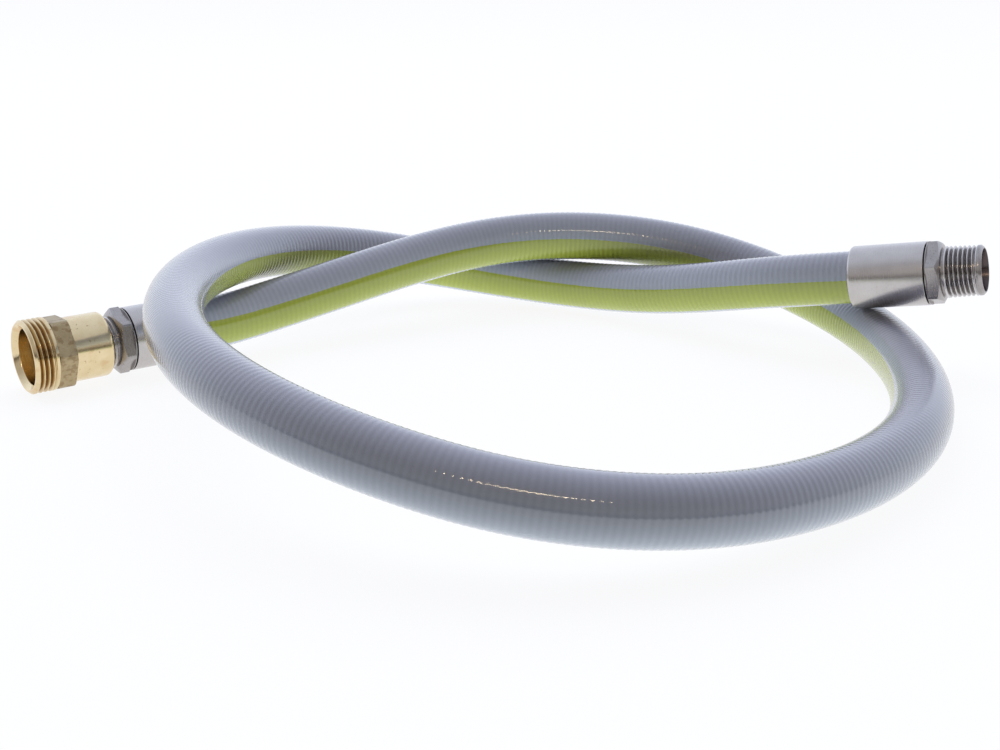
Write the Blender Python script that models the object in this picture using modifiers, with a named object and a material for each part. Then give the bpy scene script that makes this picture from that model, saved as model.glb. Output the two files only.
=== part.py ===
"""Flexible gas hose, tied in one loose overhand knot and laid on a flat surface.

A corrugated stainless steel tube in a plastic jacket runs between two swaged ferrules. Each
ferrule holds a screwed nipple, and a brass adapter is screwed onto the left nipple.

Metres, +Z up. Z = 0 is the surface that the hose lies on, and the origin is midway between
the outermost points of the fittings. The left fitting points along -X.
"""

import math

import bmesh
import bpy
import numpy as np
from mathutils import Vector

PART_NAME = "stainless_steel_flexible_hose"

# Gap that two pieces keep where they touch
GAP = 0.0003

# Hose: outer diameter of the jacket, its wall, and the steel tube inside it
HOSE_DIAMETER = 0.0226
JACKET_WALL = 0.0012
TUBE_CLEARANCE = 0.0007
TUBE_WALL = 0.0005
JACKET_ROUND_STEPS = 4
TUBE_ROUND_STEPS = 2
HOSE_RINGS = 68

# Ferrule: a drawn sleeve over the jacket, with a rounded nose where the hose comes out, which
# stays straight for a little way past the lip
FERRULE_LENGTH = 0.0307
FERRULE_WALL = 0.0016
FERRULE_NOSE = 0.0014
FERRULE_LIP = 0.00015
FERRULE_EDGE = 0.0004
STRAIGHT_AT_LIP = 0.0018
NOSE_STEPS = 4

# Seal ring between the ferrule and the hexagon
SEAL_THICKNESS = 0.0005
SEAL_INSET = 0.0010

# Nipple: shank in the ferrule, hexagon with a cone in front, taper thread R 1/2, plain bore
SHANK_LENGTH = 0.013
NIPPLE_FLAT_STEP = 0.0007
NIPPLE_HEX_STRAIGHT = 0.0040
NIPPLE_HEX_LENGTH = 0.0058
NIPPLE_CONE_TOP = 0.0110
NIPPLE_THREAD_LENGTH = 0.0158
NIPPLE_RELIEF = 0.0012
NIPPLE_LAND = 0.0021
NIPPLE_TIP_CHAMFER = 0.0010
NIPPLE_BORE = 0.0160
PIPE_GAUGE_DIAMETER = 0.020955
PIPE_GAUGE_LENGTH = 0.0082
PIPE_TAPER = 1.0 / 16.0
PIPE_PITCH = 0.001814
PIPE_THREAD_DEPTH = 0.001162

# Brass adapter: round socket body, hexagon flange, collar, and male thread M30 x 2 round a
# cone seat
ADAPTER_START = 0.0090
ADAPTER_BODY_WALL = 0.0024
ADAPTER_BODY_LENGTH = 0.0162
ADAPTER_BODY_ROUNDING = 0.0020
ADAPTER_FLAT_STEP = 0.0002
ADAPTER_FLANGE_LENGTH = 0.0073
ADAPTER_FLANGE_CHAMFER = 0.0007
ADAPTER_THREAD_DIAMETER = 0.0300
ADAPTER_THREAD_PITCH = 0.0020
ADAPTER_THREAD_DEPTH = 0.001227
ADAPTER_THREAD_LENGTH = 0.0098
ADAPTER_COLLAR = 0.0012
ADAPTER_TIP_CHAMFER = 0.0010
ADAPTER_WEB = 0.0036
ADAPTER_SEAT_DEPTH = 0.0020
ADAPTER_SEAT_RIM = 0.0008
ADAPTER_WALL_AT_THREAD = 0.0025

# Number of faces around a turned piece
TURNED_STEPS = 40
NIPPLE_STEPS = 32
SEAL_STEPS = 32
SHARP_ANGLE = math.radians(28.0)

# Where the two hexagons' back faces sit, and where their fittings point: the turn is
# counted from +X about Z, and the rise is above the horizontal. The left fitting lies on its
# adapter's thread.
LEFT_SEAT = (-0.1226, 0.1017, ADAPTER_THREAD_DIAMETER / 2)
LEFT_TURN = math.radians(180.0)
LEFT_RISE = math.radians(0.0)
RIGHT_SEAT = (0.1468, -0.0939, 0.0418)
RIGHT_TURN = math.radians(-63.83)
RIGHT_RISE = math.radians(10.14)

# Turn of each hexagon about its own axis: the angle of one corner from the local X axis
LEFT_HEX_TURN = math.radians(42.0)
RIGHT_HEX_TURN = math.radians(38.6)
ADAPTER_HEX_TURN = math.radians(3.1)

# The hose's route from the left end's straight part to the right one's: back over the far side,
# round the right and the front on the surface, over the left ferrule, and through the loop
ROUTE = [
    (-0.0538, 0.1006, 0.0183),
    (-0.0198, 0.0975, 0.0239),
    (0.0142, 0.0960, 0.0287),
    (0.0483, 0.0923, 0.0323),
    (0.0802, 0.0800, 0.0345),
    (0.1075, 0.0592, 0.0340),
    (0.1296, 0.0331, 0.0304),
    (0.1447, 0.0030, 0.0241),
    (0.1500, -0.0303, 0.0175),
    (0.1438, -0.0635, 0.0132),
    (0.1277, -0.0939, 0.0116),
    (0.1060, -0.1207, 0.0114),
    (0.0804, -0.1437, 0.0113),
    (0.0509, -0.1613, 0.0113),
    (0.0182, -0.1718, 0.0118),
    (-0.0160, -0.1757, 0.0136),
    (-0.0501, -0.1728, 0.0164),
    (-0.0821, -0.1612, 0.0203),
    (-0.1092, -0.1405, 0.0252),
    (-0.1291, -0.1132, 0.0308),
    (-0.1421, -0.0817, 0.0359),
    (-0.1472, -0.0479, 0.0394),
    (-0.1445, -0.0136, 0.0411),
    (-0.1354, 0.0195, 0.0415),
    (-0.1213, 0.0509, 0.0416),
    (-0.1016, 0.0791, 0.0415),
    (-0.0765, 0.1025, 0.0404),
    (-0.0470, 0.1200, 0.0373),
    (-0.0145, 0.1296, 0.0321),
    (0.0190, 0.1292, 0.0251),
    (0.0502, 0.1173, 0.0176),
    (0.0757, 0.0949, 0.0126),
    (0.0929, 0.0652, 0.0117),
    (0.1026, 0.0324, 0.0150),
    (0.1101, -0.0006, 0.0216),
    (0.1191, -0.0333, 0.0295),
]

# Sizes that follow from the ones above
HOSE_RADIUS = HOSE_DIAMETER / 2
JACKET_BORE = HOSE_RADIUS - JACKET_WALL
TUBE_RADIUS = JACKET_BORE - TUBE_CLEARANCE
FERRULE_BORE = HOSE_RADIUS + GAP
FERRULE_RADIUS = FERRULE_BORE + FERRULE_WALL
FERRULE_START = -(SEAL_THICKNESS + 2 * GAP)
FERRULE_END = FERRULE_START - FERRULE_LENGTH
STRAIGHT_END = FERRULE_END - STRAIGHT_AT_LIP
SHANK_RADIUS = HOSE_RADIUS
TUBE_START = -(SHANK_LENGTH + GAP)
NIPPLE_FLAT_RADIUS = SHANK_RADIUS + NIPPLE_FLAT_STEP
NIPPLE_TIP = NIPPLE_HEX_LENGTH + NIPPLE_THREAD_LENGTH
SOCKET_END = NIPPLE_TIP + GAP
ADAPTER_FLANGE_START = ADAPTER_START + ADAPTER_BODY_LENGTH
ADAPTER_FLANGE_END = ADAPTER_FLANGE_START + ADAPTER_FLANGE_LENGTH
ADAPTER_FRONT = ADAPTER_FLANGE_END + ADAPTER_THREAD_LENGTH
ADAPTER_THREAD_RADIUS = ADAPTER_THREAD_DIAMETER / 2
ADAPTER_FRONT_BORE = ADAPTER_THREAD_RADIUS - ADAPTER_THREAD_DEPTH - ADAPTER_WALL_AT_THREAD
ADAPTER_SEAT_RADIUS = ADAPTER_THREAD_RADIUS - ADAPTER_TIP_CHAMFER - ADAPTER_SEAT_RIM


def clear_scene():
    for obj in list(bpy.data.objects):
        bpy.data.objects.remove(obj, do_unlink=True)


def new_collection(name):
    made = bpy.data.collections.new(name)
    bpy.context.scene.collection.children.link(made)
    return made


def make_material(name, colour, roughness, metallic):
    """A plain Principled finish for one sub-part."""
    material = bpy.data.materials.new(name)
    material.use_nodes = True
    shader = material.node_tree.nodes["Principled BSDF"]
    shader.inputs["Base Color"].default_value = (*colour, 1.0)
    shader.inputs["Roughness"].default_value = roughness
    shader.inputs["Metallic"].default_value = metallic
    material.diffuse_color = (*colour, 1.0)
    return material


def direction_of(turn, rise):
    """Unit vector at this turn about Z and this rise above the horizontal."""
    flat = math.cos(rise)
    return Vector((flat * math.cos(turn), flat * math.sin(turn), math.sin(rise)))


def end_frame(name, seat, outward, collection):
    """An empty at a hexagon's back face: local +Z points out of the hose, local Y leans up."""
    empty = bpy.data.objects.new(name, None)
    empty.empty_display_size = HOSE_DIAMETER
    empty.location = seat
    empty.rotation_mode = "QUATERNION"
    empty.rotation_quaternion = outward.to_track_quat("Z", "Y")
    collection.objects.link(empty)
    return empty


def arc(centre, size, start, end, steps):
    """Points (radius, height) along part of an ellipse, with its angles in degrees."""
    points = []
    for step in range(steps + 1):
        angle = math.radians(start + (end - start) * step / steps)
        points.append((centre[0] + size[0] * math.cos(angle), centre[1] + size[1] * math.sin(angle)))
    return points


def hexagon_corner(flat_radius):
    """Distance from a hexagon's centre to its corner, from the distance to its flat."""
    return flat_radius / math.cos(math.pi / 6)


def turned(name, profile, steps, material, parent, collection):
    """A closed profile of (radius, height), outer side top to bottom, turned about local Z."""
    mesh = bpy.data.meshes.new(name)
    edges = [(index, (index + 1) % len(profile)) for index in range(len(profile))]
    mesh.from_pydata([(radius, 0.0, height) for radius, height in profile], edges, [])
    mesh.materials.append(material)
    obj = bpy.data.objects.new(name, mesh)
    collection.objects.link(obj)
    obj.parent = parent
    screw = obj.modifiers.new("turn", "SCREW")
    screw.axis = "Z"
    screw.steps = steps
    screw.render_steps = steps
    screw.use_merge_vertices = True
    screw.merge_threshold = 0.00001
    return obj


def hexagon_cutter(name, flat_radius, reach, low, high, turn, parent, collection):
    """A ring with a hexagonal hole, which leaves six flats on a round blank between two heights."""
    mesh = bpy.data.meshes.new(name)
    shape = bmesh.new()
    circle = bmesh.ops.create_circle(shape, segments=6, radius=hexagon_corner(flat_radius))
    inner = circle["verts"]
    rim = bmesh.ops.extrude_edge_only(shape, edges=shape.edges[:])
    outer = [item for item in rim["geom"] if isinstance(item, bmesh.types.BMVert)]
    grown = reach / flat_radius
    bmesh.ops.scale(shape, vec=(grown, grown, 1.0), verts=outer)
    bmesh.ops.translate(shape, vec=(0.0, 0.0, low), verts=inner + outer)
    raised = bmesh.ops.extrude_face_region(shape, geom=shape.faces[:])
    top = [item for item in raised["geom"] if isinstance(item, bmesh.types.BMVert)]
    bmesh.ops.translate(shape, vec=(0.0, 0.0, high - low), verts=top)
    bmesh.ops.recalc_face_normals(shape, faces=shape.faces[:])
    shape.to_mesh(mesh)
    shape.free()
    cutter = bpy.data.objects.new(name, mesh)
    collection.objects.link(cutter)
    cutter.parent = parent
    # The circle's first corner lies on local Y, a quarter turn from local X
    cutter.rotation_euler = (0.0, 0.0, turn - math.pi / 2)
    cutter.hide_render = True
    cutter.display_type = "WIRE"
    return cutter


def cut(obj, cutter):
    boolean = obj.modifiers.new("cut " + cutter.name, "BOOLEAN")
    boolean.operation = "DIFFERENCE"
    boolean.solver = "EXACT"
    boolean.object = cutter


def finish_metal(obj):
    """Applies the modifiers and shades the round faces smooth, with crisp turned edges."""
    bpy.context.view_layer.update()
    graph = bpy.context.evaluated_depsgraph_get()
    mesh = bpy.data.meshes.new_from_object(obj.evaluated_get(graph))
    blank = obj.data
    obj.modifiers.clear()
    obj.data = mesh
    bpy.data.meshes.remove(blank)
    mesh.name = obj.name
    mesh.shade_smooth()
    mesh.set_sharp_from_angle(angle=SHARP_ANGLE)


def make_ferrule(name, material, parent, collection):
    """A plain sleeve, with its hose end drawn in to a rounded nose."""
    lip_radius = FERRULE_BORE + FERRULE_LIP
    nose_size = (FERRULE_RADIUS - lip_radius, FERRULE_NOSE)
    nose_centre = (lip_radius, FERRULE_END + FERRULE_NOSE)
    profile = [
        (FERRULE_BORE, FERRULE_START),
        (FERRULE_RADIUS - FERRULE_EDGE, FERRULE_START),
        (FERRULE_RADIUS, FERRULE_START - FERRULE_EDGE),
        *arc(nose_centre, nose_size, 0.0, -90.0, NOSE_STEPS),
        (FERRULE_BORE, FERRULE_END),
    ]
    finish_metal(turned(name, profile, TURNED_STEPS, material, parent, collection))


def make_seal_ring(name, material, parent, collection):
    """A flat ring on the shank, just inside the ferrule's outline."""
    radius = FERRULE_RADIUS - SEAL_INSET
    profile = [
        (SHANK_RADIUS + GAP, -GAP),
        (radius, -GAP),
        (radius, -GAP - SEAL_THICKNESS),
        (SHANK_RADIUS + GAP, -GAP - SEAL_THICKNESS),
    ]
    finish_metal(turned(name, profile, SEAL_STEPS, material, parent, collection))


def pipe_radius(height):
    """Crest radius of the taper thread at this height."""
    gauge_height = NIPPLE_TIP - PIPE_GAUGE_LENGTH
    return (PIPE_GAUGE_DIAMETER + (gauge_height - height) * PIPE_TAPER) / 2


def thread_rings(top, bottom, pitch, depth, crest_radius):
    """Crests and roots of a thread in section, from the top down, as many as fit."""
    count = int((top - bottom) / pitch)
    points = []
    for turn in range(count):
        height = top - turn * pitch
        points.append((crest_radius(height), height))
        points.append((crest_radius(height) - depth, height - pitch / 2))
    last = top - count * pitch
    points.append((crest_radius(last), last))
    return points


def make_nipple(name, hex_turn, material, parent, collection, cutters):
    """One turned piece: shank in the ferrule, hexagon, taper thread and a plain bore."""
    bore = NIPPLE_BORE / 2
    corner = hexagon_corner(NIPPLE_FLAT_RADIUS)
    land_start = NIPPLE_TIP - NIPPLE_LAND
    relief_end = NIPPLE_HEX_LENGTH + NIPPLE_RELIEF
    relief_radius = pipe_radius(relief_end) - PIPE_THREAD_DEPTH
    profile = [
        (bore, NIPPLE_TIP),
        (pipe_radius(NIPPLE_TIP) - NIPPLE_TIP_CHAMFER, NIPPLE_TIP),
        (pipe_radius(NIPPLE_TIP), NIPPLE_TIP - NIPPLE_TIP_CHAMFER),
        *thread_rings(land_start, relief_end, PIPE_PITCH, PIPE_THREAD_DEPTH, pipe_radius),
        (relief_radius, relief_end),
        (relief_radius, NIPPLE_HEX_LENGTH),
        (NIPPLE_CONE_TOP, NIPPLE_HEX_LENGTH),
        (corner, NIPPLE_HEX_STRAIGHT),
        (corner, 0.0),
        (SHANK_RADIUS, 0.0),
        (SHANK_RADIUS, -SHANK_LENGTH),
        (bore, -SHANK_LENGTH),
    ]
    nipple = turned(name, profile, NIPPLE_STEPS, material, parent, collection)
    below = -GAP
    above = NIPPLE_HEX_LENGTH + GAP
    flats = hexagon_cutter(
        name + "_flats", NIPPLE_FLAT_RADIUS, 2 * corner, below, above, hex_turn, parent, cutters
    )
    cut(nipple, flats)
    finish_metal(nipple)


def make_adapter(name, hex_turn, material, parent, collection, cutters):
    """One brass piece: a socket over the nipple's thread, a hexagon flange and a large thread."""
    body_radius = pipe_radius(ADAPTER_START) + GAP + ADAPTER_BODY_WALL
    flat_radius = body_radius + ADAPTER_FLAT_STEP
    corner = hexagon_corner(flat_radius)
    crest = ADAPTER_THREAD_RADIUS
    chamfer_end = ADAPTER_FRONT - ADAPTER_TIP_CHAMFER
    collar_end = ADAPTER_FLANGE_END + ADAPTER_COLLAR
    rounding_centre = (body_radius - ADAPTER_BODY_ROUNDING, ADAPTER_START + ADAPTER_BODY_ROUNDING)
    rounding_size = (ADAPTER_BODY_ROUNDING, ADAPTER_BODY_ROUNDING)
    web_end = SOCKET_END + ADAPTER_WEB
    profile = [
        (ADAPTER_FRONT_BORE, ADAPTER_FRONT - ADAPTER_SEAT_DEPTH),
        (ADAPTER_SEAT_RADIUS, ADAPTER_FRONT),
        (crest - ADAPTER_TIP_CHAMFER, ADAPTER_FRONT),
        *thread_rings(
            chamfer_end, collar_end, ADAPTER_THREAD_PITCH, ADAPTER_THREAD_DEPTH, lambda height: crest
        ),
        (crest, ADAPTER_FLANGE_END),
        (corner, ADAPTER_FLANGE_END - ADAPTER_FLANGE_CHAMFER),
        (corner, ADAPTER_FLANGE_START + ADAPTER_FLANGE_CHAMFER),
        (corner - ADAPTER_FLANGE_CHAMFER, ADAPTER_FLANGE_START),
        (body_radius, ADAPTER_FLANGE_START),
        *arc(rounding_centre, rounding_size, 0.0, -90.0, NOSE_STEPS),
        (pipe_radius(ADAPTER_START) + GAP, ADAPTER_START),
        (pipe_radius(SOCKET_END) + GAP, SOCKET_END),
        (NIPPLE_BORE / 2, SOCKET_END),
        (NIPPLE_BORE / 2, web_end),
        (ADAPTER_FRONT_BORE, web_end),
    ]
    adapter = turned(name, profile, TURNED_STEPS, material, parent, collection)
    below = ADAPTER_FLANGE_START - GAP
    above = ADAPTER_FLANGE_END
    flats = hexagon_cutter(
        name + "_flats", flat_radius, 2 * corner, below, above, hex_turn, parent, cutters
    )
    cut(adapter, flats)
    finish_metal(adapter)


def smooth_curve(points, start_slope, end_slope, count):
    """Evenly counted points on the smooth cubic spline through these points.

    The spline's bend changes without a jump, and it leaves and ends along the given unit
    vectors. Each stretch is measured by its chord.
    """
    points = np.array(points)
    chords = np.linalg.norm(np.diff(points, axis=0), axis=1)
    reach = np.concatenate([[0.0], np.cumsum(chords)])
    last = len(points) - 1
    matrix = np.zeros((last + 1, last + 1))
    wanted = np.zeros((last + 1, 3))
    matrix[0, 0] = 1.0
    matrix[last, last] = 1.0
    wanted[0] = start_slope
    wanted[last] = end_slope
    for index in range(1, last):
        before = chords[index - 1]
        after = chords[index]
        matrix[index, index - 1] = 1.0 / before
        matrix[index, index] = 2.0 / before + 2.0 / after
        matrix[index, index + 1] = 1.0 / after
        step_in = (points[index] - points[index - 1]) / before**2
        step_out = (points[index + 1] - points[index]) / after**2
        wanted[index] = 3.0 * (step_in + step_out)
    slopes = np.linalg.solve(matrix, wanted)
    places = np.linspace(0.0, reach[last], count)
    stretch = np.clip(np.searchsorted(reach, places, side="right") - 1, 0, last - 1)
    chord = chords[stretch][:, None]
    part = (places - reach[stretch])[:, None] / chord
    rest = 1.0 - part
    return (
        (1.0 + 2.0 * part) * rest**2 * points[stretch]
        + part**2 * (3.0 - 2.0 * part) * points[stretch + 1]
        + part * rest**2 * chord * slopes[stretch]
        - part**2 * rest * chord * slopes[stretch + 1]
    )


def hose_path(left_seat, left_outward, right_seat, right_outward):
    """The hose's centre line: straight inside both ferrules, smooth through the route between."""
    left_straight_end = left_seat + left_outward * STRAIGHT_END
    right_straight_end = right_seat + right_outward * STRAIGHT_END
    through = [tuple(left_straight_end), *ROUTE, tuple(right_straight_end)]
    free = smooth_curve(through, tuple(-left_outward), tuple(right_outward), HOSE_RINGS)
    left_butt = left_seat + left_outward * TUBE_START
    right_butt = right_seat + right_outward * TUBE_START
    return [tuple(left_butt), *map(tuple, free), tuple(right_butt)]


def make_hollow_tube(name, path, radius, wall, round_steps, material, collection):
    """A tube along the path, open at both ends, with its wall inside the given radius."""
    curve = bpy.data.curves.new(name, "CURVE")
    curve.dimensions = "3D"
    curve.bevel_depth = radius
    curve.bevel_resolution = round_steps
    curve.use_fill_caps = False
    spline = curve.splines.new("POLY")
    spline.points.add(len(path) - 1)
    for point, place in zip(spline.points, path):
        point.co = (*place, 1.0)
    guide = bpy.data.objects.new(name + "_guide", curve)
    collection.objects.link(guide)
    bpy.context.view_layer.update()
    graph = bpy.context.evaluated_depsgraph_get()
    mesh = bpy.data.meshes.new_from_object(guide.evaluated_get(graph))
    bpy.data.objects.remove(guide, do_unlink=True)
    mesh.name = name
    mesh.materials.clear()
    mesh.materials.append(material)
    mesh.shade_smooth()
    tube = bpy.data.objects.new(name, mesh)
    collection.objects.link(tube)
    solidify = tube.modifiers.new("wall", "SOLIDIFY")
    solidify.thickness = wall
    solidify.offset = -1.0
    return tube


def main():
    clear_scene()
    parts = new_collection(PART_NAME)
    cutters = new_collection("cutters")

    jacket_grey = make_material("jacket_plastic", (0.20, 0.20, 0.21), 0.5, 0.0)
    tube_steel = make_material("tube_steel", (0.55, 0.55, 0.56), 0.35, 1.0)
    ferrule_steel = make_material("ferrule_steel", (0.60, 0.59, 0.62), 0.32, 1.0)
    nipple_steel = make_material("nipple_steel", (0.62, 0.62, 0.63), 0.22, 1.0)
    seal_black = make_material("seal_rubber", (0.02, 0.02, 0.02), 0.7, 0.0)
    adapter_brass = make_material("adapter_brass", (0.72, 0.56, 0.30), 0.3, 1.0)

    left_outward = direction_of(LEFT_TURN, LEFT_RISE)
    right_outward = direction_of(RIGHT_TURN, RIGHT_RISE)
    left_seat = Vector(LEFT_SEAT)
    right_seat = Vector(RIGHT_SEAT)
    left_end = end_frame("left_end", left_seat, left_outward, parts)
    right_end = end_frame("right_end", right_seat, right_outward, parts)

    path = hose_path(left_seat, left_outward, right_seat, right_outward)
    make_hollow_tube(
        "hose_jacket", path, HOSE_RADIUS, JACKET_WALL, JACKET_ROUND_STEPS, jacket_grey, parts
    )
    make_hollow_tube(
        "corrugated_tube", path, TUBE_RADIUS, TUBE_WALL, TUBE_ROUND_STEPS, tube_steel, parts
    )
    for side, frame, hex_turn in (
        ("left", left_end, LEFT_HEX_TURN),
        ("right", right_end, RIGHT_HEX_TURN),
    ):
        make_ferrule(side + "_ferrule", ferrule_steel, frame, parts)
        make_seal_ring(side + "_seal_ring", seal_black, frame, parts)
        make_nipple(side + "_nipple", hex_turn, nipple_steel, frame, parts, cutters)
    make_adapter("brass_adapter", ADAPTER_HEX_TURN, adapter_brass, left_end, parts, cutters)


main()
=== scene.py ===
"""Looks of the flexible gas hose: a ribbed grey jacket with a yellow-green stripe, satin steel
ferrules, turned nipples with real threads, and a brass adapter with a rough hexagon.

Metres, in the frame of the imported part: +Z up, the left fitting points along -X.
"""

import math

import bmesh
import bpy
import numpy as np
from mathutils import Matrix, Vector


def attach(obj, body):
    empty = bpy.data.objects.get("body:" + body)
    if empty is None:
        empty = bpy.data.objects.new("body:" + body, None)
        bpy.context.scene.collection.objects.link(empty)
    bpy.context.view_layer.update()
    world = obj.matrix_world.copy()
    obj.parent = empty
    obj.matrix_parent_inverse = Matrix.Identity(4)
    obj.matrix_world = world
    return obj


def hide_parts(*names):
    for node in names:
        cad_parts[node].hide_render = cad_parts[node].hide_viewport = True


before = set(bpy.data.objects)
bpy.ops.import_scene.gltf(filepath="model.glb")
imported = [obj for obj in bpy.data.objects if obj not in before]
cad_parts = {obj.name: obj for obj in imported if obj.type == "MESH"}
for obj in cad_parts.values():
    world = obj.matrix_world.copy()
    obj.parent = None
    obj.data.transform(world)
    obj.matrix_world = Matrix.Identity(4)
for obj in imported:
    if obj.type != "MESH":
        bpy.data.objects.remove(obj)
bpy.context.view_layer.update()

BODY = "root"

# The photograph's camera, worked out from the hose's outline
CAMERA_PLACE = (-0.3350, -0.4400, 0.1869)
CAMERA_PITCH = math.radians(18.496)
CAMERA_TURN = math.radians(-36.9145)
CAMERA_LENS = 50.96
CAMERA_SENSOR = 36.0

# Hose
GAP = 0.0003
HOSE_DIAMETER = 0.0226
HOSE_RADIUS = HOSE_DIAMETER / 2
JACKET_WALL = 0.0012
RIB_PITCH = 0.0024
RINGS_PER_RIB = 4
JACKET_SIDES = 40
INNER_RINGS = 80

# Ribs: their depth, which grows on the inside of a bend. It takes the second value where the
# bend has this radius, and a little more at most where it is tighter.
RIB_DEPTH_STRAIGHT = 0.00011
RIB_DEPTH_BENT = 0.00026
BENT_RADIUS = 4.5 * HOSE_DIAMETER
DEEPEST_HOLLOW = 1.1

# Corrugated steel tube inside the jacket
TUBE_CREST = 0.0094
TUBE_DEPTH = 0.0015
TUBE_WALL = 0.0003
TUBE_SIDES = 24
RINGS_PER_CORRUGATION = 3

# Stripe: how far round the jacket it reaches, and the turn of its upper edge about the hose at
# some distances along it, in degrees from the direction that the left end calls up
STRIPE_WIDTH_TURN = 68.0
STRIPE_UPPER_EDGE = [
    (0.000, 66.0),
    (0.067, 73.0),
    (0.120, 71.0),
    (0.183, 83.0),
    (0.269, 83.0),
    (0.365, 79.0),
    (0.462, 74.0),
    (0.673, 78.0),
    (0.904, 81.0),
    (1.029, 81.0),
    (1.154, 88.0),
    (1.231, 91.5),
    (1.316, 99.0),
]

# Black ring and ferrule, with the hose's straight stretch behind the ferrule's lip
RING_THICKNESS = 0.0005
RING_RADIUS = 0.0120
RING_GAP = 0.00006
FERRULE_LENGTH = 0.0307
FERRULE_RADIUS = 0.0132
FERRULE_BORE = HOSE_RADIUS + GAP
FERRULE_NOSE = 0.0014
FERRULE_LIP = 0.00015
FERRULE_FRONT = -(RING_THICKNESS + 2 * RING_GAP)
FERRULE_END = -(RING_THICKNESS + 2 * GAP + FERRULE_LENGTH)
STRAIGHT_AT_LIP = 0.0018
STRAIGHT_END = FERRULE_END - STRAIGHT_AT_LIP

# Nipple: shank, hexagon with a cone in front, taper thread R 1/2 and a plain bore
SHANK_RADIUS = HOSE_RADIUS
SHANK_LENGTH = 0.013
NIPPLE_FLAT = 0.0120
NIPPLE_HEX_STRAIGHT = 0.0040
NIPPLE_HEX_LENGTH = 0.0058
NIPPLE_CONE_TOP = 0.0110
NIPPLE_HEX_BLUNT = 0.00012
NIPPLE_COLLAR_RADIUS = 0.0131
NIPPLE_COLLAR = 0.0004
NIPPLE_THREAD_LENGTH = 0.0158
NIPPLE_RELIEF = 0.0012
NIPPLE_LAND = 0.0021
NIPPLE_TIP_CHAMFER = 0.0010
NIPPLE_BORE = 0.0080
NIPPLE_MOUTH = 0.0088
NIPPLE_MOUTH_DEPTH = 0.0060
NIPPLE_TIP = NIPPLE_HEX_LENGTH + NIPPLE_THREAD_LENGTH
PIPE_GAUGE_DIAMETER = 0.020955
PIPE_GAUGE_LENGTH = 0.0082
PIPE_TAPER = 1.0 / 16.0
PIPE_PITCH = 0.001814
PIPE_THREAD_DEPTH = 0.001162

# Brass adapter: round body, hexagon flange, collar and male thread M30 x 2
ADAPTER_START = 0.0090
ADAPTER_BODY_RADIUS = 0.01331
ADAPTER_BODY_LENGTH = 0.0162
ADAPTER_BODY_ROUNDING = 0.0020
ADAPTER_FLAT = 0.0135
ADAPTER_FLANGE_LENGTH = 0.0073
ADAPTER_FLANGE_CHAMFER = 0.0007
ADAPTER_HEX_BLUNT = 0.00055
ADAPTER_THREAD_LENGTH = 0.0098
ADAPTER_FLANGE_START = ADAPTER_START + ADAPTER_BODY_LENGTH
ADAPTER_FLANGE_END = ADAPTER_FLANGE_START + ADAPTER_FLANGE_LENGTH
ADAPTER_FRONT = ADAPTER_FLANGE_END + ADAPTER_THREAD_LENGTH
ADAPTER_THREAD_RADIUS = 0.0150
ADAPTER_THREAD_PITCH = 0.0020
ADAPTER_THREAD_DEPTH = 0.001227
ADAPTER_COLLAR = 0.0012
ADAPTER_TIP_CHAMFER = 0.0010
ADAPTER_FRONT_BORE = 0.01127
ADAPTER_SEAT_DEPTH = 0.0020
ADAPTER_SEAT_RADIUS = 0.0132
ADAPTER_WEB = 0.0036
ADAPTER_SOCKET_END = NIPPLE_TIP + GAP
ADAPTER_WEB_END = ADAPTER_SOCKET_END + ADAPTER_WEB

# Small round corners of the turned profiles
FINE_EDGE = 0.0001
RING_INNER_EDGE = 0.00008
RING_EDGE = 0.00015
EDGE = 0.0002
SOFT_EDGE = 0.0003
FLANGE_EDGE = 0.0004

# A length too small to see, which tells one ring of points from the next, and the error that
# a height may have from single-precision numbers
HAIR = 0.00001
ROUNDING = 1e-7

# Faces around a turned piece, a multiple of six so that a hexagon's corners are sharp
TURNED_STEPS = 180
THREAD_RINGS_PER_TURN = 16
THREAD_CREST_SHARE = 0.10

# Seats of the two hexagons' back faces, and the way their fittings point
LEFT_SEAT = (-0.1226, 0.1017, 0.0150)
LEFT_TURN = math.radians(180.0)
LEFT_RISE = math.radians(0.0)
RIGHT_SEAT = (0.1468, -0.0939, 0.0418)
RIGHT_TURN = math.radians(-63.83)
RIGHT_RISE = math.radians(10.14)
LEFT_HEX_TURN = math.radians(42.0)
RIGHT_HEX_TURN = math.radians(38.6)
ADAPTER_HEX_TURN = math.radians(3.1)

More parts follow.
